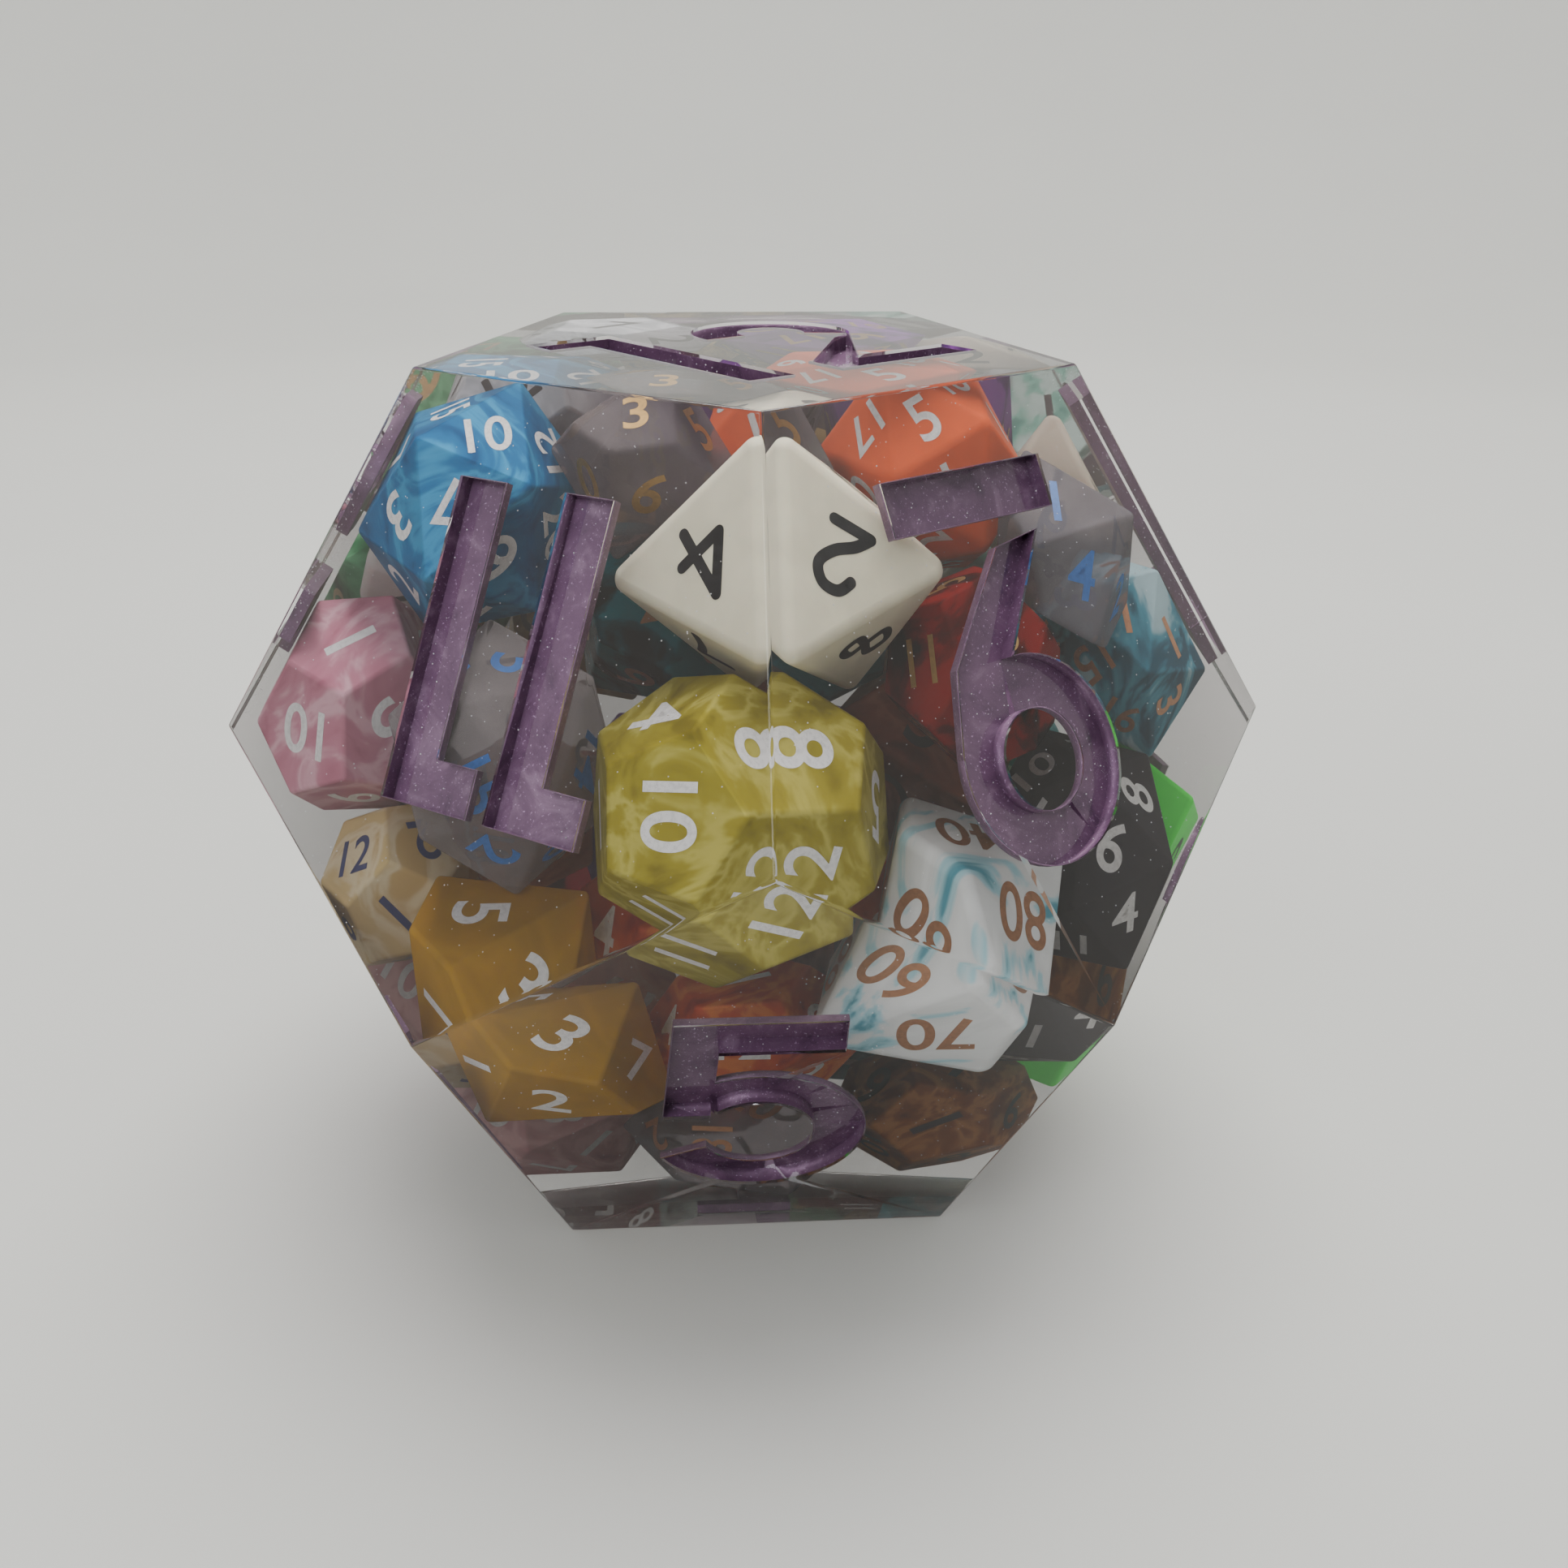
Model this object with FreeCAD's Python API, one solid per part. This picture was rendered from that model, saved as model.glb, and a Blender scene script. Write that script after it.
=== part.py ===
import FreeCAD, Part
import math
import os
import random
from itertools import combinations, product

Vector = FreeCAD.Vector

# ---------------------------------------------------------------------------
# Jumbo twelve-sided die, cast in clear resin around a handful of ordinary
# polyhedral dice. Millimetres. It rests on its "1" face, with the middle of
# that face at the origin, and its 5 / 9 / 11 faces look towards -Y.
# ---------------------------------------------------------------------------

EDGE = 35.0                     # edge length of the big die
INRADIUS = EDGE / 2 * math.sqrt((25 + 11 * math.sqrt(5)) / 10)   # centre to face
EDGE_BREAK = 0.4                # polished-over edges of the casting

GROOVE_DEPTH = 1.6              # recessed numerals
PAINT_THICKNESS = 0.3           # paint pooled on the floor of each groove
CUTTER_OVERRUN = 1.0            # how far a groove cutter stands out of the face
STROKE = 4.8                    # width of a numeral's straight strokes
THIN_STROKE = 4.4               # width of its bows and cross bars
DIGIT = 27.0                    # height of a numeral
BAR_GAP = 3.8                   # gap between a 6 or 9 and the bar under it

WALL = 2.0                      # least resin over an embedded die
SMALL_ROUND = 0.6               # tumbled edges of the embedded dice
SOFT_ROUND = 1.3                # edges of the well-worn ones
CLEARANCE = 0.25                # resin film between two neighbouring dice
TOUCH = 0.02                    # a die pressed less than this into the wall is free
GIVE = 0.01                     # how little a die gives way to one put in after it
SHAKE_ANGLE = 12                # most a die rolls in one shake, degrees
SHAKE_SEED = 3                  # which way the mould is shaken as they settle
# share of full size the dice have reached, and the most rounds of pushing there
GROWTH = ((0.8, 60), (0.86, 60), (0.9, 60), (0.94, 80), (0.97, 100), (1, 900))

GOLDEN = (1 + math.sqrt(5)) / 2
UPPER = math.degrees(math.atan(0.5))    # tilt of the faces round the top

# number: (azimuth from the front, elevation, turn of the numeral's top)
# azimuth runs from -Y towards +X; turn 0 has the numeral's top uphill.
FACES = {
    12: (0, 90, -36),
    11: (-36, UPPER, 180), 9: (36, UPPER, 180), 7: (108, UPPER, 180),
    8: (180, UPPER, 108), 10: (-108, UPPER, -108),
    5: (0, -UPPER, 0), 3: (72, -UPPER, 0), 2: (144, -UPPER, 72),
    4: (-144, -UPPER, 0), 6: (-72, -UPPER, -72),
    1: (0, -90, 0),
}

# name, kind, size face to face, centre from the middle of the big die,
# tumble (yaw, pitch, roll), and its turn into the mould: the FIRST dice hardly
# move from where they are put, and each later group makes room for those before.
FIRST, NEXT, LAST = range(3)
SMALL_DICE = [
    ("d8_cream", "d8", 15, (1.5, -23.5, 24), (-97, 15, 5), FIRST),
    ("d12_yellow", "d12", 18, (-3, -31, 7.5), (5, -60, -10), FIRST),
    ("d20_black", "d20", 19, (23.5, -14.5, -5.5), (-150, 5, -175), FIRST),
    ("d10_white_teal_tens", "d10", 16.5, (11.5, -27.5, -7.5), (-90, -45, -55), FIRST),
    ("d10_amber", "d10", 15.5, (-17.5, -22.5, -13), (-135, -25, -30), FIRST),
    ("d20_blue", "d20", 19, (-21, -3, 25), (10, 20, 30), FIRST),
    ("d12_pink", "d12", 17.5, (-31, -3, 7), (-45, 10, -35), FIRST),
    ("d20_teal_white", "d20", 17, (29.5, -1, 6), (-155, 5, 70), FIRST),
    ("d12_copper", "d12", 17, (18, 0, -25), (-45, -25, -60), FIRST),
    ("d20_orange", "d20", 17.5, (10.5, -3, 26), (20, 40, 10), FIRST),
    ("d20_clear_blue_ink", "d20", 19, (-18, -18, 6), (15, 35, 60), FIRST),
    ("d10_clear_gold_ink", "d10", 12, (-6, -6, 28), (30, 20, 10), NEXT),
    ("d12_red_black", "d12", 15, (15, -16, 14), (40, 15, 25), NEXT),
    ("d12_cream_marble", "d12", 13.5, (-27, -11.5, -5), (10, 50, 20), NEXT),
    ("d6_coral", "d6", 10.5, (-17, -6, -6), (35, 25, 15), NEXT),
    ("d10_teal_black", "d10", 14, (-4, -9, 12), (70, 10, 50), NEXT),
    ("d6_white", "d6", 10, (-28, 6, 15.5), (25, 15, 35), NEXT),
    ("d12_orange_red", "d12", 16, (-3, -17, -9), (50, 20, 0), NEXT),
    ("d6_neon_green", "d6", 12.5, (28, -1, -13), (0, 30, 45), NEXT),
    ("d10_clear_blue_ink", "d10", 13, (26, -6, 22), (15, 60, 20), NEXT),
    ("d8_red_brown", "d8", 13.5, (8, -13, 2), (20, 30, 10), NEXT),
    ("d20_rose", "d20", 19, (-24, -8, -22), (5, 15, 75), LAST),
    ("d8_ivory", "d8", 13.5, (28, 15, 15), (45, 10, 10), LAST),
    ("d12_violet", "d12", 17, (3, -2, -8), (10, 20, 30), LAST),
    ("d20_green", "d20", 19, (-22, 22, 8), (80, 10, 20), LAST),
    ("d12_silver", "d12", 17, (-8, 18, 26), (15, 5, 60), LAST),
    ("d20_purple", "d20", 19, (12, 20, 24), (35, 50, 0), LAST),
    ("d20_gold", "d20", 19, (-2, 32, 4), (65, 0, 40), LAST),
    ("d12_mint", "d12", 17, (21, 26, 2), (70, 25, 25), LAST),
    ("d20_ruby", "d20", 19, (-4, 16, -20), (30, 30, 30), LAST),
    ("d12_aqua", "d12", 17, (15, 22, -18), (45, 5, 45), LAST),
    ("d20_clear_lilac", "d20", 19, (-2, -6, -27), (10, 25, 55), LAST),
]


SOFT_DICE = ("d8_cream", "d10_white_teal_tens", "d20_orange", "d8_ivory", "d6_white")


# ----- polyhedra -----------------------------------------------------------

def corner_points(kind):
    """Corners of each kind of die, in its own frame and at any scale."""
    signs = list(product((-1, 1), repeat=2))
    if kind == "d6":
        points = list(product((-1, 1), repeat=3))
    elif kind == "d8":
        points = [(s, 0, 0) for s in (-1, 1)]
        points += [(0, s, 0) for s in (-1, 1)] + [(0, 0, s) for s in (-1, 1)]
    elif kind == "d10":
        zigzag = 0.105      # height of the waist corners above and below the equator
        cosine = math.cos(math.pi / 5)
        tip = zigzag * (1 + cosine) / (1 - cosine)
        points = [(math.cos(k * math.pi / 5), math.sin(k * math.pi / 5),
                   zigzag * (-1) ** k) for k in range(10)]
        points += [(0, 0, tip), (0, 0, -tip)]
    elif kind == "d12":
        points = list(product((-1, 1), repeat=3))
        for s, t in signs:
            points += [(0, s / GOLDEN, t * GOLDEN), (s / GOLDEN, t * GOLDEN, 0),
                       (t * GOLDEN, 0, s / GOLDEN)]
    else:
        points = []
        for s, t in signs:
            points += [(0, s, t * GOLDEN), (s, t * GOLDEN, 0), (t * GOLDEN, 0, s)]
    return [Vector(*p) for p in points]


def face_planes(corners):
    """Outward normal and distance of every face of a convex body round the origin."""
    planes = []
    for a, b, c in combinations(corners, 3):
        normal = (b - a).cross(c - a)
        if normal.Length < 1e-6:
            continue
        normal.normalize()
        distance = normal.dot(a)
        if distance < 0:
            normal, distance = normal * -1, -distance
        outside = any(normal.dot(p) > distance + 1e-6 for p in corners)
        known = any((normal - n).Length < 1e-4 for n, _ in planes)
        if not outside and not known:
            planes.append((normal, distance))
    return planes


def solid_from(corners):
    """Convex solid through the given corners."""
    faces = []
    for normal, distance in face_planes(corners):
        ring = [p for p in corners if abs(normal.dot(p) - distance) < 1e-4]
        middle = sum(ring, Vector()) * (1 / len(ring))
        x = (ring[0] - middle).normalize()
        y = normal.cross(x)
        ring.sort(key=lambda p: math.atan2((p - middle).dot(y), (p - middle).dot(x)))
        faces.append(Part.Face(Part.makePolygon(ring + [ring[0]])))
    return Part.Solid(Part.Shell(faces))


def big_die_body():
    """Plain dodecahedron standing on a face, before numerals and cavities."""
    rim = EDGE / 2 / math.sin(math.pi / 5)
    waist = rim * GOLDEN
    drop = INRADIUS - math.sqrt(EDGE ** 2 - (waist - rim) ** 2)
    rings = ((rim, INRADIUS, 0), (waist, drop, 0),
             (waist, -drop, 36), (rim, -INRADIUS, 36))
    corners = []
    for radius, height, start in rings:
        for k in range(5):
            turn = math.radians(start + 72 * k)
            corners.append(Vector(radius * math.sin(turn), -radius * math.cos(turn),
                                  height))
    body = solid_from(corners)
    return body.makeFillet(EDGE_BREAK, body.Edges)


# ----- small dice: how they settle in the mould -----------------------------

class SmallDie:
    """One embedded die: its shape data and where it lies in the mould."""

    def __init__(self, name, kind, size, centre, tumble, order):
        self.name, self.order = name, order
        raw = corner_points(kind)
        scale = size / 2 / face_planes(raw)[0][1]
        self.local_corners = [p * scale for p in raw]
        self.local_normals = [n for n, _ in face_planes(self.local_corners)]
        self.full_inradius = size / 2
        self.centre = list(centre)
        self.turn = FreeCAD.Rotation(*tumble)
        self.grow(1)

    def grow(self, share):
        """Take up that share of the die's full size while the others settle."""
        self.share = share
        self.inradius = self.full_inradius * share
        self.reach = max(p.Length for p in self.local_corners) * share
        self.tumble(self.turn)

    def tumble(self, turn):
        self.turn = turn
        self.corners = [tuple(turn.multVec(p * self.share)) for p in self.local_corners]
        self.normals = [tuple(turn.multVec(n)) for n in self.local_normals]

    def solid(self):
        shape = solid_from(self.local_corners)
        rounding = SOFT_ROUND if self.name in SOFT_DICE else SMALL_ROUND
        shape = shape.makeFillet(rounding, shape.Edges)
        x, y, z = self.centre
        shape.Placement = FreeCAD.Placement(Vector(x, y, z + INRADIUS), self.turn)
        return shape


def dot(a, b):
    return a[0] * b[0] + a[1] * b[1] + a[2] * b[2]


def move(die, direction, distance):
    for i in range(3):
        die.centre[i] += direction[i] * distance


def overlap(a, b):
    """Least push that separates two dice and its direction from a to b, or None."""
    gap = [b.centre[i] - a.centre[i] for i in range(3)]
    if dot(gap, gap) > (a.reach + b.reach) ** 2:
        return None
    least, along = 1e9, None
    for first, second, sign in ((a, b, 1), (b, a, -1)):
        for n in first.normals:
            apart = sign * dot(gap, n)
            if apart < 0:
                continue
            near = min(dot(p, n) for p in second.corners)
            depth = first.inradius + CLEARANCE - (apart + near)
            if depth < least:
                least, along = depth, [sign * c for c in n]
            if depth <= 0:
                return None
    return least, along


def proud_of(die, n):
    """How far a die stands past the mould's inner skin on the side facing n."""
    reach = dot(die.centre, n) + max(dot(p, n) for p in die.corners)
    return max(0.0, reach - (INRADIUS - WALL))


def crowding(die, dice, walls):
    """How badly one die is pinched by its neighbours and the mould."""
    hits = [overlap(die, other) for other in dice if other is not die]
    return (sum(hit[0] ** 2 for hit in hits if hit) +
            sum(proud_of(die, n) ** 2 for n in walls))


def shake(die, dice, walls, rng):
    """Roll a pinched die a few degrees if that gives it more room."""
    before, was = crowding(die, dice, walls), die.turn
    axis = Vector(rng.uniform(-1, 1), rng.uniform(-1, 1), rng.uniform(-1, 1))
    die.tumble(FreeCAD.Rotation(axis, rng.uniform(-SHAKE_ANGLE, SHAKE_ANGLE)).multiply(was))
    if crowding(die, dice, walls) > before:
        die.tumble(was)


def spread(dice, walls):
    """Push every touching pair apart once; returns the dice that were pinched."""
    pinched = set()
    for a, b in combinations(dice, 2):
        hit = overlap(a, b)
        if hit is None:
            continue
        pinched.update((a, b))
        depth, along = hit
        share = 0.5 if a.order == b.order else (GIVE if a.order < b.order else 1 - GIVE)
        move(a, along, -depth * share)
        move(b, along, depth * (1 - share))
    for die in dice:
        for n in walls:
            proud = proud_of(die, n)
            if proud > TOUCH:
                pinched.add(die)
            move(die, n, -proud)
    return pinched


def settle(dice):
    """Let the loose dice grow to full size, shaking them until none touch."""
    walls = [tuple(outward(azimuth, tilt)) for azimuth, tilt, _ in FACES.values()]
    rng = random.Random(SHAKE_SEED)
    for share, rounds in GROWTH:
        for die in dice:
            die.grow(share)
        for _ in range(rounds):
            pinched = spread(dice, walls)
            if not pinched:
                break
            for die in dice:
                if die in pinched and die.order != FIRST:
                    shake(die, dice, walls, rng)


# ----- numerals --------------------------------------------------------------

def outward(azimuth, elevation):
    a, e = math.radians(azimuth), math.radians(elevation)
    return Vector(math.sin(a) * math.cos(e), -math.cos(a) * math.cos(e), math.sin(e))


def face_placement(number):
    """Placement whose Z leaves the big die's face and whose Y is the numeral's top."""
    azimuth, elevation, turn = FACES[number]
    out = outward(azimuth, elevation)
    a, e = math.radians(azimuth), math.radians(elevation)
    uphill = Vector(-math.sin(a) * math.sin(e), math.cos(a) * math.sin(e), math.cos(e))
    up = FreeCAD.Rotation(out, -turn).multVec(uphill)
    rotation = FreeCAD.Rotation(up.cross(out), up, out, "ZXY")
    return FreeCAD.Placement(out * INRADIUS + Vector(0, 0, INRADIUS), rotation)


def slab(outline, height):
    """Extrude a closed outline upwards from the groove floor."""
    face = Part.Face(Part.makePolygon([Vector(x, y, 0) for x, y in outline + outline[:1]]))
    return face.extrude(Vector(0, 0, height))


def bar(start, end, width, height):
    """Straight stroke with square ends."""
    (x0, y0), (x1, y1) = start, end
    length = math.hypot(x1 - x0, y1 - y0)
    px, py = -(y1 - y0) / length * width / 2, (x1 - x0) / length * width / 2
    return slab([(x0 + px, y0 + py), (x1 + px, y1 + py),
                 (x1 - px, y1 - py), (x0 - px, y0 - py)], height)


def bow(centre, radius, start, sweep, height):
    """Curved stroke: part of a ring, radius to the outside of the stroke."""
    x, y = centre
    at = Vector(x, y, 0)
    outer = Part.makeCylinder(radius, height, at, Vector(0, 0, 1), sweep)
    ring = outer.cut(Part.makeCylinder(radius - THIN_STROKE, height, at))
    ring.rotate(at, Vector(0, 0, 1), start)
    return ring


def join(*pieces):
    shape = pieces[0]
    if len(pieces) > 1:
        shape = shape.fuse(list(pieces[1:]))
    return shape.removeSplitter()


def digit_one(h):
    half, top = STROKE / 2, DIGIT / 2
    return join(bar((0, -top), (0, top), STROKE, h),
                slab([(-half - 4.2, top), (half, top), (half, top - 4), (-half - 4.2, top - 4)], h))


def digit_two(h):
    top, r = DIGIT / 2, 7.6
    return join(bow((0, top - r), r, -40, 220, h),
                slab([(2.6, top - r - 6.2), (6.2, top - r - 4.3), (-2.6, -top + 4), (-8, -top + 4)], h),
                slab([(-8, -top), (8, -top), (8, -top + THIN_STROKE), (-8, -top + THIN_STROKE)], h))


def digit_three(h):
    top = DIGIT / 2
    low, high = 7.8, 7.3
    return join(bow((0, top - high), high, -90, 250, h),
                bow((0, -top + low), low, -160, 250, h))


def digit_four(h):
    top = DIGIT / 2
    return join(bar((3, -top), (3, top), THIN_STROKE, h),
                slab([(0.8, top), (5.2, top), (-4.2, -4), (-9, -4)], h),
                slab([(-9, -7), (8.5, -7), (8.5, -2.8), (-9, -2.8)], h))


def digit_five(h):
    top, r = DIGIT / 2, 9.4
    return join(slab([(-7.5, top), (6.5, top), (6.5, top - 4.6), (-7.5, top - 4.6)], h),
                slab([(-7.5, top), (-3.6, top), (-4.6, -1.2), (-8.6, -1.2)], h),
                bow((-0.4, -top + r), r, -155, 290, h))


def digit_seven(h):
    top = DIGIT / 2
    return join(slab([(-8, top), (8, top), (8, top - THIN_STROKE), (-8, top - THIN_STROKE)], h),
                slab([(2.8, top - 4), (8, top - 4), (-1, -top), (-6, -top)], h))


def digit_eight(h):
    top, low, high = DIGIT / 2, 8.2, 7.2
    return join(bow((0, top - high), high, 0, 360, h),
                bow((0, -top + low), low, 0, 360, h))


def digit_nine(h):
    top, r = DIGIT / 2, 8.7
    tail = slab([(8.5, top - r - 2), (6.6, top - r - 8.8), (-1.2, -top + 0.8),
                 (-6.4, -top), (0.6, top - r - 8.2)], h)
    return join(bow((0, top - r), r, 0, 360, h), tail)


def digit_six(h):
    six = digit_nine(h)
    six.rotate(Vector(), Vector(0, 0, 1), 180)
    return six


def digit_zero(h):
    r = 7.0
    straight, side = DIGIT / 2 - r, r - THIN_STROKE / 2
    return join(bow((0, straight), r, 0, 180, h), bow((0, -straight), r, 180, 180, h),
                bar((side, -straight), (side, straight), THIN_STROKE, h),
                bar((-side, -straight), (-side, straight), THIN_STROKE, h))


def reading_bar(h):
    return bar((-9, 0), (9, 0), THIN_STROKE, h)


# number: the strokes cut into that face, each with its shift (x, y)
BAR_DROP = -(DIGIT / 2 + BAR_GAP / 2 + 2)
NUMERALS = {
    1: {"one": (digit_one, 1, 0)},
    2: {"two": (digit_two, 0, 0)},
    3: {"three": (digit_three, 0, 0)},
    4: {"four": (digit_four, 0, 0)},
    5: {"five": (digit_five, 0, -2.5)},
    6: {"six": (digit_six, 0, 2.5), "bar": (reading_bar, 0, 2.5 + BAR_DROP)},
    7: {"seven": (digit_seven, 0, 0)},
    8: {"eight": (digit_eight, 0, 0)},
    9: {"nine": (digit_nine, -0.8, 2.5), "bar": (reading_bar, -0.8, 2.5 + BAR_DROP)},
    10: {"one": (digit_one, -7.4, 0), "zero": (digit_zero, 7.6, 0)},
    11: {"left": (digit_one, -3.9, -2.2), "right": (digit_one, 7, -2.2)},
    12: {"one": (digit_one, -7.8, 0), "two": (digit_two, 8, 0)},
}


def stroke_solid(number, part, floor, height):
    """One numeral stroke group, standing `height` up from `floor` below its face."""
    draw, x, y = NUMERALS[number][part]
    shape = draw(height)
    shape.translate(Vector(x, y, -floor))
    shape.Placement = face_placement(number).multiply(shape.Placement)
    return shape


# ----- the whole casting -----------------------------------------------------

def main():
    os.makedirs("parts", exist_ok=True)
    dice = [SmallDie(*row) for row in SMALL_DICE]
    settle(dice)

    pieces = {die.name: die.solid() for die in dice}
    body = big_die_body()
    body.translate(Vector(0, 0, INRADIUS))
    grooves, cutter = [], GROOVE_DEPTH + CUTTER_OVERRUN
    for number, parts in NUMERALS.items():
        for part in parts:
            grooves.append(stroke_solid(number, part, GROOVE_DEPTH, cutter))
            name = "paint_%02d_%s" % (number, part)
            paint = stroke_solid(number, part, GROOVE_DEPTH, PAINT_THICKNESS)
            pieces[name] = paint
    body = body.cut(grooves).cut([pieces[die.name] for die in dice])
    pieces["resin_body"] = body

    for name, shape in pieces.items():
        solid = shape if shape.ShapeType == "Solid" else shape.Solids[0]
        solid.exportStep("parts/%s.step" % name)


main()
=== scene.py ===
import math
import random

import bmesh
import bpy
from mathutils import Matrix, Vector


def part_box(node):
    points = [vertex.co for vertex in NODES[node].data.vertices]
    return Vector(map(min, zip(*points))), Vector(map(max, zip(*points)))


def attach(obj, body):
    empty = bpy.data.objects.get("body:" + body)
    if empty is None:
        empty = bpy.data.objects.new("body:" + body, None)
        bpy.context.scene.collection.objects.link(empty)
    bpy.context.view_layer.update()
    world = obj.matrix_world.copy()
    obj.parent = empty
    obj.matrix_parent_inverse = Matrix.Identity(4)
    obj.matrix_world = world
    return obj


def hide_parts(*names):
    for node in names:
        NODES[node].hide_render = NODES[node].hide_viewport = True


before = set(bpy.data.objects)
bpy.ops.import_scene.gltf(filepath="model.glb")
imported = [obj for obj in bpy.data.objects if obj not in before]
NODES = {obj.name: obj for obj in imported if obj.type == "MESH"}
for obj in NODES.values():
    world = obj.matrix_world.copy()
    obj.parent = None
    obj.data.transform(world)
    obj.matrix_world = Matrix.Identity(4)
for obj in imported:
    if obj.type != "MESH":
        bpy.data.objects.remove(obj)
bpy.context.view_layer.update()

# ---------------------------------------------------------------------------
# Jumbo clear resin d12 full of small dice. Metres; the die stands on the
# origin with its 5 / 9 / 11 faces towards -Y.
# ---------------------------------------------------------------------------

MM = 0.001
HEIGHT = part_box("resin_body")[1][2]         # face to face
INRADIUS = HEIGHT / 2
MIDDLE = Vector((0, 0, INRADIUS))
WELD = 2e-6                                 # vertices nearer than this are one
UPPER = math.degrees(math.atan(0.5))        # tilt of the faces round the top

# number: (azimuth, elevation) of the way its face looks
BIG_FACES = {12: (0, 90), 11: (-36, UPPER), 9: (36, UPPER), 7: (108, UPPER),
             8: (180, UPPER), 10: (-108, UPPER), 5: (0, -UPPER), 3: (72, -UPPER),
             2: (144, -UPPER), 4: (-144, -UPPER), 6: (-72, -UPPER), 1: (0, -90)}


def outward(azimuth, elevation):
    """Unit vector: azimuth from -Y towards +X, elevation above the table."""
    a, e = math.radians(azimuth), math.radians(elevation)
    return Vector((math.sin(a) * math.cos(e), -math.cos(a) * math.cos(e), math.sin(e)))


BIG_NORMALS = {number: outward(*way) for number, way in BIG_FACES.items()}


def big_face_of(point):
    """(number, depth) of the big die's face nearest to a point, depth measured inwards."""
    number = max(BIG_NORMALS, key=lambda k: (point - MIDDLE).dot(BIG_NORMALS[k]))
    return number, INRADIUS - (point - MIDDLE).dot(BIG_NORMALS[number])


def add_object(name, mesh, material, node_names, stage=False):
    """Put a mesh in the scene, as a piece of the die or as part of the stage."""
    obj = bpy.data.objects.new(name, mesh)
    bpy.context.scene.collection.objects.link(obj)
    mesh.materials.clear()
    mesh.materials.append(material)
    if stage:
        return obj
    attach(obj, "root")
    if node_names:
        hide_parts(*node_names)
    return obj


# ----- materials --------------------------------------------------------------

class Nodes:
    """A material being built, with short calls for the nodes it needs."""

    def __init__(self, name):
        self.material = bpy.data.materials.new(name)
        self.material.use_nodes = True
        self.tree = self.material.node_tree
        self.shader = self.tree.nodes["Principled BSDF"]
        self.output = self.tree.nodes["Material Output"]
        self.coords = self.tree.nodes.new("ShaderNodeTexCoord").outputs["Object"]

    def add(self, kind, inputs=(), **settings):
        node = self.tree.nodes.new(kind)
        for key, value in settings.items():
            setattr(node, key, value)
        for key, value in dict(inputs).items():
            if isinstance(value, bpy.types.NodeSocket):
                self.tree.links.new(value, node.inputs[key])
            else:
                node.inputs[key].default_value = value
        return node

    def link(self, source, target):
        self.tree.links.new(source, target)

    def set(self, **values):
        for key, value in values.items():
            self.shader.inputs[key.replace("_", " ")].default_value = value

    def noise(self, scale, detail=4.0, distortion=0.0, roughness=0.55, seed=0.0):
        shift = self.add("ShaderNodeMapping", {"Vector": self.coords,
                                               "Location": (seed, seed * 0.7, -seed)})
        return self.add("ShaderNodeTexNoise",
                        {"Vector": shift.outputs[0], "Scale": scale, "Detail": detail,
                         "Distortion": distortion, "Roughness": roughness}).outputs["Fac"]

    def ramp(self, factor, stops):
        node = self.add("ShaderNodeValToRGB", {"Fac": factor})
        node.color_ramp.interpolation = "EASE"
        points = node.color_ramp.elements
        while len(points) < len(stops):
            points.new(0.5)
        for point, (place, colour) in zip(points, stops):
            point.position = place
            point.color = (*colour, 1)
        return node.outputs["Color"]

    def bump(self, height, strength, distance):
        node = self.add("ShaderNodeBump", {"Height": height, "Strength": strength,
                                           "Distance": distance})
        self.link(node.outputs["Normal"], self.shader.inputs["Normal"])


RESIN_INDEX = 1.5
IN_RESIN = 1.06             # index of a die's plastic relative to the resin round it
TINTED_IN_RESIN = 1.03      # the same for the transparent dice
HAZE_DENSITY = 19.0         # of the haze in the resin, per metre
PEARL_FOLDS = 85.0          # noise scale of the swirls in pearlescent plastic
MARBLE_FOLDS = 62.0         # and of the broader ones in marbled plastic
# strength of the painted glow of the neon die, which brightens it where other dice shade it
NEON_PAINTED_GLOW = 0.22


def shade(colour, factor):
    return tuple(min(1.0, c * factor) for c in colour)


def opaque(name, colour, seed=0.0):
    """Plain solid-colour moulded die with faint mottling."""
    n = Nodes(name)
    blotch = n.noise(240, 5, 0.3, seed=seed)
    n.link(n.ramp(blotch, [(0.3, shade(colour, 0.93)), (0.7, shade(colour, 1.05))]),
           n.shader.inputs["Base Color"])
    n.set(Roughness=0.28, IOR=IN_RESIN, Subsurface_Weight=0.08, Subsurface_Scale=0.002)
    n.bump(n.noise(900, 3, seed=seed), 0.05, 0.0001)
    return n.material


def pearl(name, dark, mid, light, seed=0.0):
    """Swirled pearlescent plastic: soft pale folds running through a deeper colour, which are its
    own swirl and also a painted sheen.
    """
    n = Nodes(name)
    fold = n.noise(PEARL_FOLDS, 4, 2.2, 0.5, seed)
    # the palest stop is the swirl's own paler colour with painted pearly sheen in it
    colour = n.ramp(fold, [(0.30, dark), (0.45, mid), (0.56, light), (0.64, mid), (0.80, dark)])
    n.link(colour, n.shader.inputs["Base Color"])
    n.set(Metallic=0.10, Roughness=0.30, IOR=IN_RESIN)
    n.bump(n.noise(700, 3, seed=seed), 0.04, 0.0001)
    return n.material


def marble(name, ground, vein, deep, amount=0.0, seed=0.0):
    """Two-colour swirl: dark ink folded through a paler ground; amount adds more ink."""
    n = Nodes(name)
    fold = n.noise(MARBLE_FOLDS, 4, 2.8, 0.5, seed)
    stops = [(0.34, deep), (0.42, vein), (0.50, shade(ground, 0.92)), (0.62, ground)]
    colour = n.ramp(fold, [(place + amount, tone) for place, tone in stops])
    n.link(colour, n.shader.inputs["Base Color"])
    n.set(Roughness=0.22, IOR=IN_RESIN)
    n.bump(n.noise(700, 3, seed=seed), 0.04, 0.0001)
    return n.material


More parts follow.
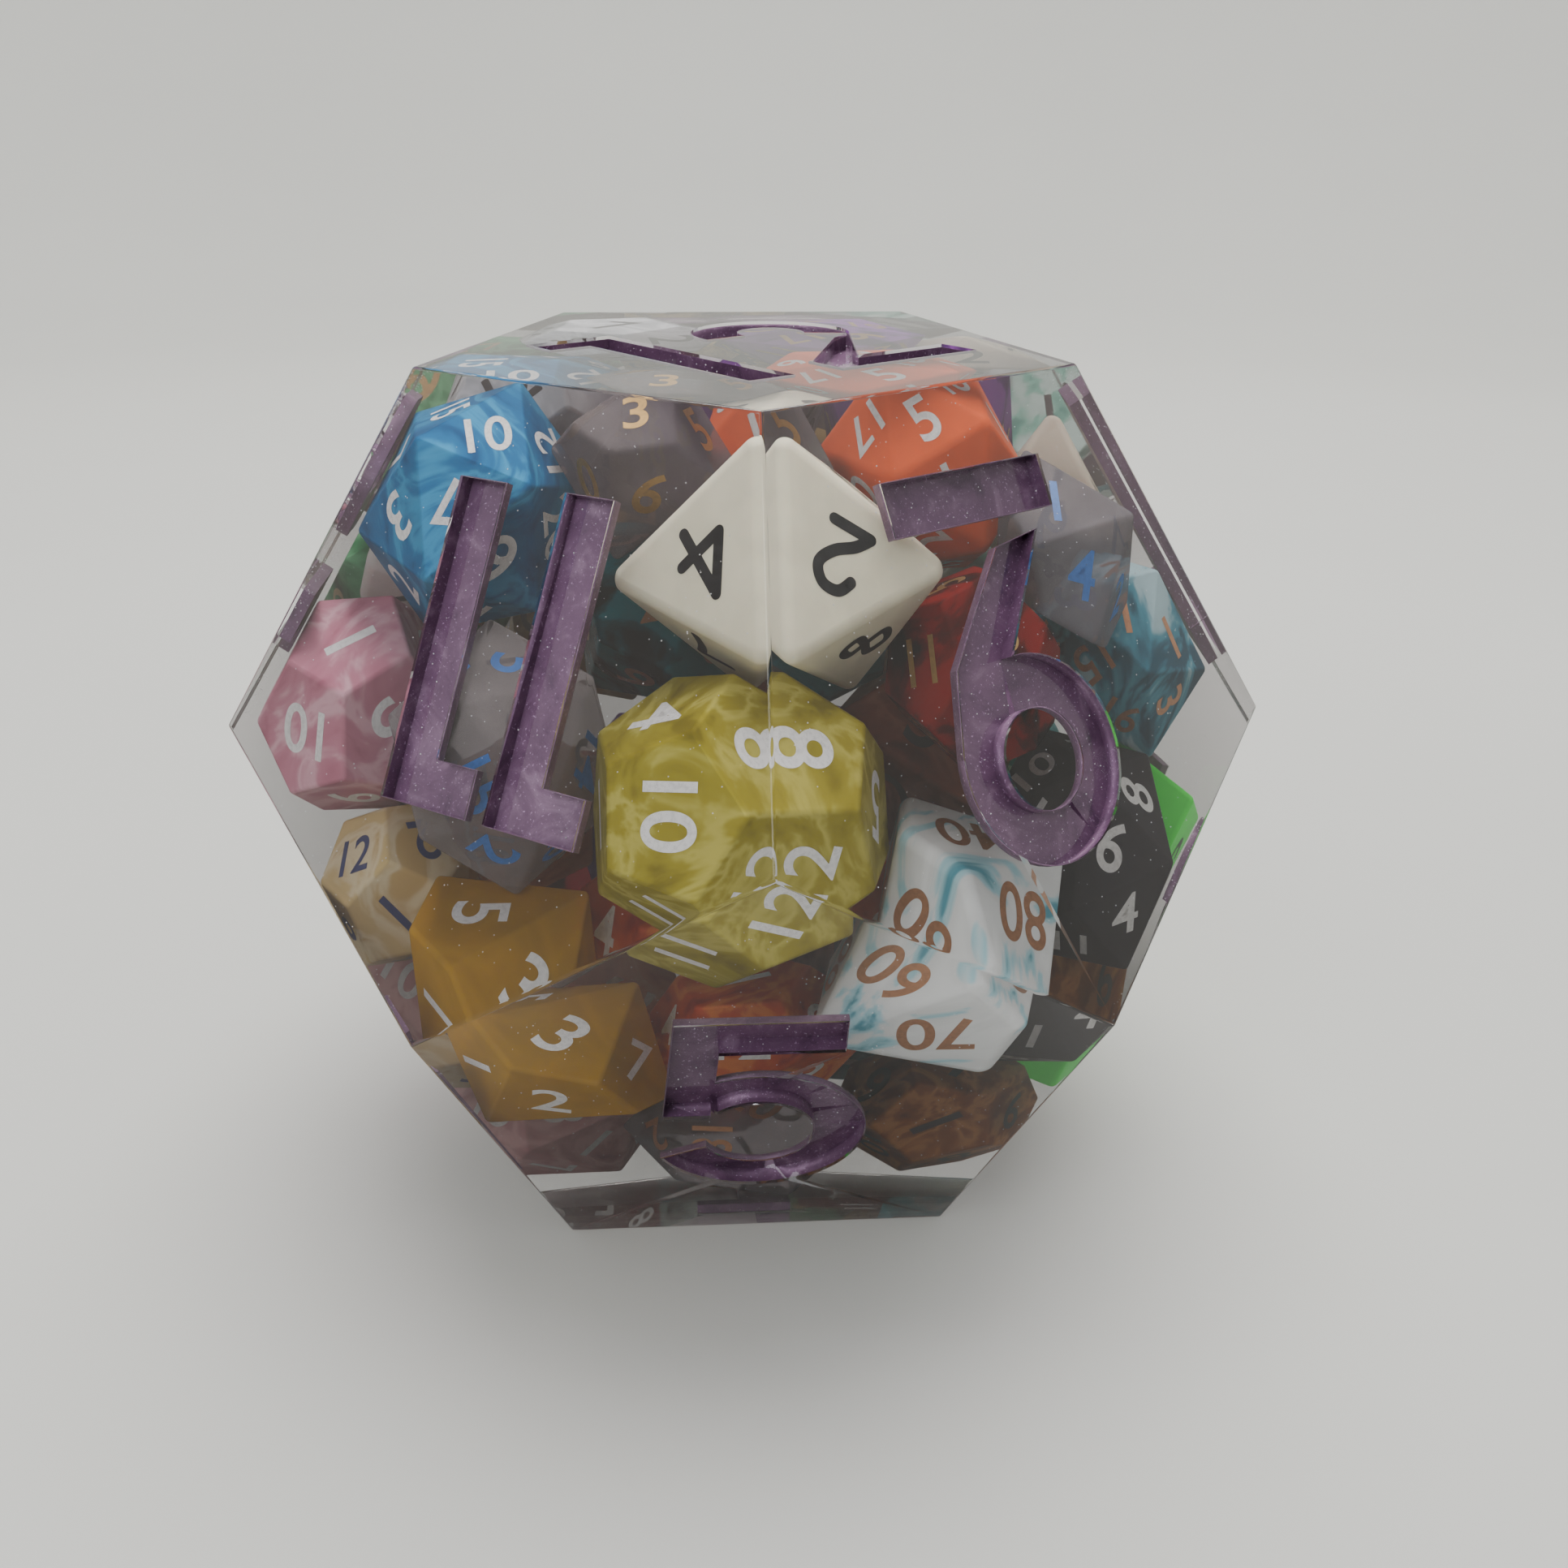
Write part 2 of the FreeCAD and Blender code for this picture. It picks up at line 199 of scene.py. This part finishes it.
def fluorescent(name, colour, seed=0.0):
    """Solid neon plastic that glows a little of its own colour: a painted glow, which stands for
    its fluorescence and also lifts it out of the shade of the dice round it.
    """
    material = opaque(name, colour, seed)
    shader = material.node_tree.nodes["Principled BSDF"]
    # painted glow in the die's own colour
    shader.inputs["Emission Color"].default_value = (*colour, 1)
    shader.inputs["Emission Strength"].default_value = NEON_PAINTED_GLOW
    return material


def tinted(name, colour, clearness=0.85, seed=0.0):
    """Transparent die inside resin of nearly the same index: mostly its tint shows."""
    n = Nodes(name)
    cloud = n.noise(140, 4, 1.5, seed=seed)
    n.link(n.ramp(cloud, [(0.3, shade(colour, 0.85)), (0.75, shade(colour, 1.1))]),
           n.shader.inputs["Base Color"])
    n.set(Transmission_Weight=clearness, IOR=TINTED_IN_RESIN, Roughness=0.03)
    n.bump(n.noise(300, 2, seed=seed), 0.01, 0.0001)
    return n.material


def ink(name, colour, metallic=0.0):
    """Printed ink, slightly worn; metallic inks are a little smoother."""
    n = Nodes(name)
    wear = n.noise(2500, 3)
    n.link(n.ramp(wear, [(0.3, shade(colour, 0.82)), (0.6, colour)]),
           n.shader.inputs["Base Color"])
    n.set(Metallic=metallic, Roughness=0.45 if metallic == 0 else 0.35)
    n.bump(n.noise(1800, 3), 0.2, 0.00005)
    return n.material


def resin():
    """Polished clear casting resin with a faint haze."""
    n = Nodes("clear_resin")
    n.set(Base_Color=(0.97, 0.955, 0.965, 1), Transmission_Weight=1.0, IOR=RESIN_INDEX)
    n.link(n.ramp(n.noise(160, 5, 0.5), [(0.45, (0.0, 0.0, 0.0)), (0.75, (0.05, 0.05, 0.05))]),
           n.shader.inputs["Roughness"])
    n.bump(n.noise(60, 3, 0.4), 0.03, 0.0002)
    through = n.add("ShaderNodeBsdfTransparent", {"Color": (0.93, 0.91, 0.93, 1)})
    path = n.add("ShaderNodeLightPath")
    both = n.add("ShaderNodeMixShader", {0: path.outputs["Is Shadow Ray"],
                                         1: n.shader.outputs[0], 2: through.outputs[0]})
    n.link(both.outputs[0], n.output.inputs["Surface"])
    haze = n.add("ShaderNodeVolumePrincipled",
                 {"Color": (0.58, 0.49, 0.465, 1), "Density": HAZE_DENSITY, "Anisotropy": 0.3})
    n.link(haze.outputs[0], n.output.inputs["Volume"])
    return n.material


def numeral_paint():
    """Metallic purple brushed into the grooves, with uneven cover, painted highlights in its
    palest patches and fine flake painted as glints.
    """
    n = Nodes("numeral_paint")
    cloud = n.noise(220, 6, 0.8, 0.65)
    flake = n.noise(4200, 2)
    # darker stops: the paint's uneven cover; palest stop: a painted highlight
    body = n.ramp(cloud, [(0.28, (0.090, 0.042, 0.092)), (0.5, (0.170, 0.085, 0.165)),
                          (0.76, (0.320, 0.205, 0.310))])
    # flakes painted as bright glints, added to the base colour
    painted_flake_glint = n.ramp(flake, [(0.62, (0, 0, 0)), (0.74, (0.30, 0.22, 0.32))])
    mix = n.add("ShaderNodeMix", {0: 1.0, 6: body, 7: painted_flake_glint},
                data_type="RGBA", blend_type="ADD")
    n.link(mix.outputs[2], n.shader.inputs["Base Color"])
    n.set(Metallic=0.35, Roughness=0.42)
    n.bump(n.noise(600, 5, 0.5), 0.35, 0.0002)
    return n.material


def paper(name, colour):
    """Matt pale surface of the table."""
    n = Nodes(name)
    n.link(n.ramp(n.noise(6, 4), [(0.3, shade(colour, 0.97)), (0.7, colour)]),
           n.shader.inputs["Base Color"])
    n.set(Roughness=0.75)
    n.bump(n.noise(900, 3), 0.02, 0.0002)
    return n.material


# ----- camera, light and table ---------------------------------------------------

LENS, SENSOR = 39.13, 36                        # millimetres
CAMERA_PLACE = (-0.00698, -0.15667, 0.10196)
CAMERA_TURN = (66.95, -0.34, -3.83)             # degrees about X, Y and Z


def make_camera():
    """Close to the die, in front of it and looking down at it."""
    data = bpy.data.cameras.new("camera")
    data.lens = LENS
    data.sensor_width = SENSOR
    data.clip_start = 0.005
    camera = bpy.data.objects.new("camera", data)
    camera.location = CAMERA_PLACE
    camera.rotation_euler = [math.radians(a) for a in CAMERA_TURN]
    bpy.context.scene.collection.objects.link(camera)
    bpy.context.scene.camera = camera


def area_light(name, place, target, size, power, colour):
    data = bpy.data.lights.new(name, "AREA")
    data.shape = "DISK"
    data.size = size
    data.energy = power
    data.color = colour
    light = bpy.data.objects.new(name, data)
    light.location = place
    light.rotation_euler = (Vector(target) - Vector(place)).to_track_quat("-Z", "Y").to_euler()
    bpy.context.scene.collection.objects.link(light)


def make_table():
    """Round pale table that sweeps up into a low wall all round."""
    flat, sweep, wall = 0.55, 0.35, 0.25
    profile = [(0.001, 0), (flat * 0.5, 0), (flat, 0)]
    profile += [(flat + sweep * math.sin(math.radians(a)), sweep * (1 - math.cos(math.radians(a))))
                for a in range(10, 100, 10)]
    profile.append((flat + sweep, sweep + wall))
    turns = 72      # points round each ring
    vertices = [(r * math.cos(2 * math.pi * k / turns), r * math.sin(2 * math.pi * k / turns), z)
                for r, z in profile for k in range(turns)]
    faces = [(i * turns + k, i * turns + (k + 1) % turns,
              (i + 1) * turns + (k + 1) % turns, (i + 1) * turns + k)
             for i in range(len(profile) - 1) for k in range(turns)]
    faces.append(tuple(range(turns)))
    mesh = bpy.data.meshes.new("table")
    mesh.from_pydata(vertices, [], faces)
    mesh.update()
    mesh.shade_smooth()
    add_object("table", mesh, paper("table", (0.69, 0.69, 0.655)), (), stage=True)


def make_light():
    """Even daylight from the world, a soft ceiling light and a weak fill from the front."""
    world = bpy.data.worlds.new("world")
    world.use_nodes = True
    background = world.node_tree.nodes["Background"]
    background.inputs["Color"].default_value = (0.92, 0.95, 1.0, 1)
    background.inputs["Strength"].default_value = 0.52
    bpy.context.scene.world = world
    area_light("ceiling", place=(0.05, 0.25, 0.75), target=(0, 0, 0.03), size=0.7, power=7.5,
               colour=(1, 0.98, 0.95))
    area_light("front_fill", place=(-0.35, -0.6, 0.5), target=(0, 0, 0.04), size=0.5, power=2.0,
               colour=(0.95, 0.97, 1))


# ----- the big die -----------------------------------------------------------------

def outer_skin():
    """The resin's outside only, grooves included, as a bmesh (its cavities are left behind)."""
    skin = bmesh.new()
    skin.from_mesh(NODES["resin_body"].data)
    bmesh.ops.remove_doubles(skin, verts=skin.verts, dist=WELD)
    start = max(skin.verts, key=lambda v: v.co.z)
    reached, queue = {start}, [start]
    while queue:
        for edge in queue.pop().link_edges:
            for v in edge.verts:
                if v not in reached:
                    reached.add(v)
                    queue.append(v)
    bmesh.ops.delete(skin, geom=[v for v in skin.verts if v not in reached], context="VERTS")
    return skin


def make_resin(skin):
    mesh = bpy.data.meshes.new("resin_body")
    skin.to_mesh(mesh)
    add_object("resin_casting", mesh, resin(), ["resin_body"])


def make_paint(skin):
    """Paint lining each numeral's groove: its floor and most of the way up its walls."""
    bare_rim, coat, bury = 0.30 * MM, 0.06 * MM, 0.015 * MM
    surface = 0.15 * MM     # facets no deeper than this belong to the face, not the groove
    finish = numeral_paint()
    for number, normal in BIG_NORMALS.items():
        groove = skin.copy()
        keep = []
        for face in groove.faces:
            near, depth = big_face_of(face.calc_center_median())
            if near == number and depth > surface:
                keep.append(face)
        spare = [f for f in groove.faces if f not in set(keep)]
        bmesh.ops.delete(groove, geom=spare, context="FACES")
        rim = MIDDLE + normal * (INRADIUS - bare_rim)
        bmesh.ops.bisect_plane(groove, geom=groove.verts[:] + groove.edges[:] + groove.faces[:],
                               plane_co=rim, plane_no=normal, clear_outer=True)
        groove.normal_update()
        for v in groove.verts:
            v.co -= v.normal * bury
        mesh = bpy.data.meshes.new("paint_%02d" % number)
        groove.to_mesh(mesh)
        groove.free()
        nodes = [n for n in NODES if n.startswith("paint_%02d_" % number)]
        obj = add_object("numeral_%02d" % number, mesh, finish, nodes)
        wall = obj.modifiers.new("coat", "SOLIDIFY")
        wall.thickness = coat
        wall.offset = -1


# ----- small dice --------------------------------------------------------------------

# ink: its colour and how metallic it is
INKS = {
    "black": ((0.012, 0.012, 0.014), 0), "white": ((0.86, 0.86, 0.84), 0),
    "copper": ((0.55, 0.26, 0.12), 0.6), "gold": ((0.58, 0.36, 0.12), 0.6),
    "blue": ((0.04, 0.18, 0.55), 0), "navy": ((0.02, 0.03, 0.16), 0),
    "silver": ((0.62, 0.62, 0.60), 0.4),
}

# die: its finish, the colours (and strength) that finish takes, and its ink
FINISHES = {
    "d8_cream": (opaque, ((0.86, 0.82, 0.62),), "black"),
    # the yellow's palest colour is a painted highlight
    "d12_yellow": (pearl,
        ((0.19, 0.155, 0.008), (0.33, 0.28, 0.018), (0.50, 0.45, 0.085)), "white"),
    "d20_black": (opaque, ((0.022, 0.022, 0.025),), "silver"),
    "d10_white_teal_tens": (marble,
        ((0.78, 0.81, 0.80), (0.36, 0.62, 0.68), (0.07, 0.30, 0.38)), "copper"),
    "d10_amber": (tinted, ((0.86, 0.50, 0.03), 0.62), "white"),
    "d20_blue": (pearl, ((0.003, 0.06, 0.17), (0.005, 0.13, 0.31), (0.03, 0.27, 0.50)), "white"),
    "d12_pink": (pearl, ((0.42, 0.12, 0.19), (0.56, 0.21, 0.29), (0.74, 0.42, 0.49)), "white"),
    "d20_teal_white": (marble,
        ((0.42, 0.62, 0.66), (0.05, 0.26, 0.34), (0.015, 0.08, 0.12), 0.08), "copper"),
    "d12_copper": (pearl, ((0.12, 0.03, 0.01), (0.34, 0.10, 0.02), (0.62, 0.25, 0.07)), "black"),
    "d20_orange": (opaque, ((0.86, 0.13, 0.03),), "white"),
    "d20_clear_blue_ink": (tinted, ((0.50, 0.45, 0.46), 0.72), "blue"),
    "d10_clear_gold_ink": (tinted, ((0.50, 0.44, 0.45), 0.75), "gold"),
    "d12_red_black": (marble,
        ((0.30, 0.014, 0.012), (0.10, 0.008, 0.008), (0.015, 0.008, 0.01), 0.06), "gold"),
    "d12_cream_marble": (marble,
        ((0.74, 0.56, 0.24), (0.80, 0.68, 0.42), (0.60, 0.42, 0.16)), "navy"),
    "d6_coral": (pearl, ((0.60, 0.16, 0.06), (0.78, 0.30, 0.14), (0.85, 0.50, 0.30)), "white"),
    "d10_teal_black": (marble,
        ((0.01, 0.17, 0.19), (0.01, 0.06, 0.07), (0.01, 0.015, 0.015), 0.06), "copper"),
    "d6_white": (opaque, ((0.80, 0.78, 0.72),), "black"),
    "d12_orange_red": (pearl,
        ((0.30, 0.02, 0.01), (0.58, 0.08, 0.02), (0.75, 0.22, 0.05)), "white"),
    "d6_neon_green": (fluorescent, ((0.05, 0.95, 0.07),), "black"),
    "d10_clear_blue_ink": (tinted, ((0.48, 0.46, 0.50), 0.72), "blue"),
    "d8_red_brown": (pearl, ((0.12, 0.02, 0.01), (0.25, 0.05, 0.02), (0.35, 0.10, 0.05)), "black"),
    "d20_rose": (pearl, ((0.40, 0.16, 0.18), (0.60, 0.28, 0.30), (0.78, 0.46, 0.46)), "white"),
    "d8_ivory": (opaque, ((0.78, 0.70, 0.54),), "black"),
    "d12_violet": (pearl, ((0.08, 0.02, 0.18), (0.18, 0.06, 0.34), (0.38, 0.20, 0.55)), "silver"),
    "d20_green": (pearl, ((0.01, 0.10, 0.03), (0.02, 0.24, 0.08), (0.12, 0.45, 0.20)), "gold"),
    "d12_silver": (pearl, ((0.30, 0.31, 0.33), (0.48, 0.49, 0.51), (0.70, 0.71, 0.73)), "black"),
    "d20_purple": (marble, ((0.28, 0.07, 0.42), (0.10, 0.02, 0.18), (0.04, 0.01, 0.08)), "gold"),
    "d20_gold": (pearl, ((0.36, 0.20, 0.03), (0.58, 0.36, 0.08), (0.78, 0.56, 0.20)), "black"),
    "d12_mint": (marble, ((0.62, 0.82, 0.74), (0.25, 0.60, 0.46), (0.10, 0.36, 0.28)), "black"),
    "d20_ruby": (tinted, ((0.55, 0.02, 0.05), 0.8), "white"),
    "d12_aqua": (pearl, ((0.01, 0.22, 0.28), (0.03, 0.40, 0.48), (0.25, 0.65, 0.70)), "white"),
    "d20_clear_lilac": (tinted, ((0.46, 0.40, 0.43), 0.70), "copper"),
}

NUMBERS = {
    "d6": [str(k) for k in range(1, 7)], "d8": [str(k) for k in range(1, 9)],
    "d10": [str(k) for k in range(10)], "d12": [str(k) for k in range(1, 13)],
    "d20": [str(k) for k in range(1, 21)],
}

# height of a number as a share of its die's size, by kind
DIGIT_SHARE = {"d6": 0.52, "d8": 0.42, "d10": 0.36, "d12": 0.33, "d20": 0.26}

TWO_DIGIT_SHARE = 0.85      # how much smaller a number of two digits is
INK_LIFT = 0.03 * MM        # how far ink stands proud of its face
SAME_FACE = 0.9995          # least cosine between two facets of one flat face

# numbers given a face of their own, on the dice that show at the front: the number, which
# way its face looks (azimuth, elevation) and the turn of its top, clockwise from uphill
READABLE = {
    "d8_cream": [("4", -50, 20, 128), ("2", 30, 25, -136), ("8", 50, -40, -79)],
    "d12_yellow": [("10", -35, 20, 80), ("4", -105, 60, 30), ("8", 40, 50, 110),
                   ("12", 25, -10, -70), ("11", -40, -45, -50)],
    "d20_blue": [("17", -20, 25, 180), ("10", 5, 60, 0), ("12", 65, 40, -70),
                 ("7", -100, 30, 30), ("3", -60, 10, 120), ("9", 5, -10, 20)],
    "d12_pink": [("1", -25, 65, 50), ("10", -45, 5, 180), ("5", 20, 10, 140)],
    "d20_black": [("11", -10, -35, 10), ("4", 30, -15, 0), ("6", 30, 25, 40),
                  ("8", 75, 40, -40), ("10", -70, 65, -100)],
    "d10_white_teal_tens": [("40", 110, 70, -90), ("80", 65, 25, -140),
                            ("70", -10, -30, 180), ("00", -90, 15, -90)],
    "d10_amber": [("5", -55, 80, 50), ("1", -65, -10, 100), ("3", 15, 35, 50),
                  ("2", -20, -50, 20), ("7", 60, 5, 30)],
    "d20_teal_white": [("17", -75, 85, -80), ("7", 20, 50, -20), ("15", -15, 15, 140),
                       ("1", 60, 25, -5)],
    "d20_orange": [("5", 10, 45, -30), ("18", 50, 45, 20)],
    "d10_clear_gold_ink": [("3", -25, 70, -20), ("5", 30, 20, 10)],
    "d12_orange_red": [("12", -10, 5, 0)],
    "d12_copper": [("7", 20, 50, 20), ("1", -5, -10, 60)],
    "d10_teal_black": [("2", -5, 40, -10)],
    "d12_cream_marble": [("12", -65, 40, -40)],
    "d20_clear_blue_ink": [("6", 15, 35, 100), ("15", -20, 10, 60), ("2", -10, -30, 130)],
    "d10_clear_blue_ink": [("1", 10, 70, 10), ("4", 30, 20, 20)],
}

BRUSHED_DIE = "d8_cream"    # its digits are drawn with a brush
BRUSH_HALF_WIDTH = 0.078
DAB_SIDES = 14
STROKE_STEPS = 5            # samples between two points of a stroke

# brush-drawn digits, one unit tall: strokes through these points
BRUSH = {
    "1": [[(-0.14, 0.30), (0.04, 0.48), (0.04, -0.48)]],
    "2": [[(-0.27, 0.24), (-0.16, 0.44), (0.08, 0.47), (0.24, 0.28), (0.12, 0.02),
           (-0.12, -0.2), (-0.27, -0.42)], [(-0.27, -0.42), (0.30, -0.34)]],
    "3": [[(-0.24, 0.38), (0.02, 0.48), (0.22, 0.32), (0.14, 0.10), (-0.04, 0.04),
           (0.20, -0.06), (0.25, -0.30), (0.0, -0.47), (-0.27, -0.36)]],
    "4": [[(0.10, 0.48), (-0.34, -0.16)], [(-0.34, -0.16), (0.36, -0.14)],
          [(0.10, 0.48), (0.12, -0.48)]],
    "5": [[(0.26, 0.44), (-0.18, 0.44)], [(-0.18, 0.44), (-0.22, 0.06), (0.06, 0.10),
                                          (0.25, -0.12), (0.16, -0.40), (-0.08, -0.47),
                                          (-0.26, -0.36)]],
    "6": [[(0.18, 0.46), (-0.16, 0.14), (-0.25, -0.2), (-0.06, -0.46), (0.2, -0.34),
           (0.2, -0.08), (-0.02, 0.0), (-0.22, -0.16)]],
    "7": [[(-0.27, 0.42), (0.27, 0.44)], [(0.27, 0.44), (0.04, 0.0), (-0.08, -0.47)]],
    "8": [[(0.0, 0.03), (-0.2, 0.22), (-0.04, 0.46), (0.18, 0.3), (0.0, 0.03),
           (-0.24, -0.22), (-0.02, -0.47), (0.24, -0.24), (0.0, 0.03)]],
}

FONT_SIZE = 1.35            # makes a printed digit about one unit tall
FONT_OFFSET = 0.018         # thickens its strokes
glyph_cache = {}


def glyph(text):
    """Flat mesh data of a printed number, one unit tall, centred on the origin."""
    if text not in glyph_cache:
        curve = bpy.data.curves.new("glyph", "FONT")
        curve.body = text
        curve.size = FONT_SIZE
        curve.align_x = "CENTER"
        curve.offset = FONT_OFFSET
        obj = bpy.data.objects.new("glyph", curve)
        bpy.context.scene.collection.objects.link(obj)
        bpy.context.view_layer.update()
        graph = bpy.context.evaluated_depsgraph_get()
        mesh = bpy.data.meshes.new_from_object(obj.evaluated_get(graph))
        low = [min(v.co[i] for v in mesh.vertices) for i in range(3)]
        high = [max(v.co[i] for v in mesh.vertices) for i in range(3)]
        shift = Vector([-(a + b) / 2 for a, b in zip(low, high)])
        points = [v.co + shift for v in mesh.vertices]
        faces = [tuple(p.vertices) for p in mesh.polygons]
        glyph_cache[text] = (points, faces)
        bpy.data.meshes.remove(mesh)
        bpy.data.objects.remove(obj)
    return glyph_cache[text]


def curve_through(points):
    """Catmull-Rom samples of a stroke."""
    path = [Vector(p) for p in points]
    ends = [path[0]] + path + [path[-1]]
    samples = []
    for a, b, c, d in zip(ends, ends[1:], ends[2:], ends[3:]):
        for k in range(STROKE_STEPS):
            t = k / STROKE_STEPS
            samples.append(0.5 * (2 * b + (c - a) * t + (2 * a - 5 * b + 4 * c - d) * t * t
                                  + (3 * b - a - 3 * c + d) * t ** 3))
    return samples + [path[-1]]


def brush_glyph(text):
    """Flat mesh data of a brush-drawn digit: round dabs joined by straight ribbons."""
    points, faces = [], []
    for stroke in BRUSH[text]:
        samples = curve_through(stroke)
        for at in samples:
            first = len(points)
            for k in range(DAB_SIDES):
                turn = 2 * math.pi * k / DAB_SIDES
                points.append(Vector((at.x + BRUSH_HALF_WIDTH * math.cos(turn),
                                      at.y + BRUSH_HALF_WIDTH * math.sin(turn), 0)))
            faces.append(tuple(range(first, first + DAB_SIDES)))
        for a, b in zip(samples, samples[1:]):
            along = (b - a).normalized()
            across = Vector((-along.y, along.x)) * BRUSH_HALF_WIDTH
            first = len(points)
            points += [p.to_3d() for p in (a - across, b - across, b + across, a + across)]
            faces.append(tuple(range(first, first + 4)))
    return points, faces


def flat_faces(mesh, count):
    """The die's flat faces, largest first: (centre, normal, corner farthest from the centre)."""
    groups = []
    for polygon in mesh.polygons:
        normal = polygon.normal
        for group in groups:
            if group["normal"].dot(normal) > SAME_FACE:
                break
        else:
            group = {"normal": normal.copy(), "area": 0, "sum": Vector(), "points": []}
            groups.append(group)
        group["area"] += polygon.area
        group["sum"] += polygon.center * polygon.area
        group["points"] += [mesh.vertices[i].co for i in polygon.vertices]
    groups.sort(key=lambda g: -g["area"])
    result = []
    for group in groups[:count]:
        centre = group["sum"] / group["area"]
        tip = max(group["points"], key=lambda p: round((p - centre).length, 6))
        result.append((centre, group["normal"], tip))
    return result


def uphill(normal, turn):
    """Direction in a face: uphill, turned clockwise as seen from outside."""
    azimuth, elevation = math.atan2(normal.x, -normal.y), math.asin(normal.z)
    up = Vector((-math.sin(azimuth) * math.sin(elevation),
                 math.cos(azimuth) * math.sin(elevation), math.cos(elevation)))
    a = math.radians(turn)
    return (up * math.cos(a) + up.cross(normal) * math.sin(a)).normalized()


def numbered_faces(name, faces, texts):
    """(text, centre, normal, up) for every face: readable numbers first, then the rest."""
    placed, free, left = [], list(faces), list(texts)
    for text, azimuth, elevation, turn in READABLE.get(name, ()):
        looks = outward(azimuth, elevation)
        face = max(free, key=lambda f: f[1].dot(looks))
        free.remove(face)
        left.remove(text)
        placed.append((text, face[0], face[1], uphill(face[1], turn)))
    for (centre, normal, tip), text in zip(free, left):
        placed.append((text, centre, normal, (tip - centre).normalized()))
    return placed


def print_numbers(name, mesh, finish):
    """Inked numbers standing a hair proud of every face of one small die."""
    kind = name.split("_")[0]
    texts = NUMBERS[kind]
    if "tens" in name:
        texts = ["%d0" % k for k in range(10)]
    faces = flat_faces(mesh, len(texts))
    middle = sum((f[0] for f in faces), Vector()) / len(faces)
    size = 2 * min((f[0] - middle).length for f in faces)
    vertices, polygons = [], []
    for text, centre, normal, up in numbered_faces(name, faces, texts):
        side = up.cross(normal)
        tall = DIGIT_SHARE[kind] * size * (TWO_DIGIT_SHARE if len(text) > 1 else 1)
        lift = normal * INK_LIFT
        draw = brush_glyph if name == BRUSHED_DIE else glyph
        points, glyph_faces = draw(text)
        first = len(vertices)
        vertices += [centre + lift + side * p.x * tall + up * p.y * tall for p in points]
        polygons += [tuple(first + i for i in f) for f in glyph_faces]
    ink_mesh = bpy.data.meshes.new(name + "_ink")
    ink_mesh.from_pydata([tuple(v) for v in vertices], [], polygons)
    ink_mesh.update()
    add_object(name + "_ink", ink_mesh, finish, ())


SEED_STEP = 0.37            # between one die's noise and the next's


def make_small_dice():
    """Every die inside the casting: its body in its own plastic, and its inked numbers."""
    inks = {key: ink("ink_" + key, *INKS[key]) for key in INKS}
    for index, (name, (finish, colours, ink_name)) in enumerate(FINISHES.items()):
        mesh = NODES[name].data.copy()
        mesh.name = name
        weld = bmesh.new()
        weld.from_mesh(mesh)
        bmesh.ops.remove_doubles(weld, verts=weld.verts, dist=WELD)
        weld.to_mesh(mesh)
        weld.free()
        mesh.shade_smooth()
        material = finish(name, *colours, seed=SEED_STEP * index)
        die = add_object(name + "_body", mesh, material, [name])
        die.modifiers.new("crisp", "WEIGHTED_NORMAL")
        print_numbers(name, NODES[name].data, inks[ink_name])


SPECKS = 4500
SPECK_SPREAD = 23 * MM              # from the middle of a face
SPECK_DEPTHS = (0.3, 1.5)           # millimetres under the face
SPECK_SIZES = (0.03, 0.08)          # millimetres, middle to corner


def make_specks():
    """Fine glitter and pin-hole bubbles caught in the resin just under its faces."""
    rng = random.Random(7)
    points, faces = [], []
    ways = list(BIG_NORMALS.values())
    corners = [Vector(c) for c in ((1, 0, 0), (0, 1, 0), (-1, 0, 0), (0, -1, 0),
                                   (0, 0, 1), (0, 0, -1))]
    for _ in range(SPECKS):
        normal = rng.choice(ways)
        side = normal.orthogonal().normalized()
        other = normal.cross(side)
        reach = SPECK_SPREAD * math.sqrt(rng.random())
        turn = rng.uniform(0, 2 * math.pi)
        depth = rng.uniform(*SPECK_DEPTHS) * MM
        place = MIDDLE + normal * (INRADIUS - depth) + side * reach * math.cos(turn) \
            + other * reach * math.sin(turn)
        size = rng.uniform(*SPECK_SIZES) * MM
        first = len(points)
        points += [place + c * size for c in corners]
        for k in range(4):
            a, b = first + k, first + (k + 1) % 4
            faces += [(a, b, first + 4), (b, a, first + 5)]
    mesh = bpy.data.meshes.new("specks")
    mesh.from_pydata(points, [], faces)
    mesh.update()
    add_object("resin_specks", mesh, ink("specks", (0.85, 0.85, 0.88), 0.3), ())


make_camera()
make_light()
make_table()
casting = outer_skin()
make_paint(casting)
make_resin(casting)
casting.free()
make_small_dice()
make_specks()

# light crosses many faces on its way through the casting
bpy.context.scene.cycles.max_bounces = 16
bpy.context.scene.cycles.transmission_bounces = 12
bpy.context.scene.cycles.transparent_max_bounces = 12
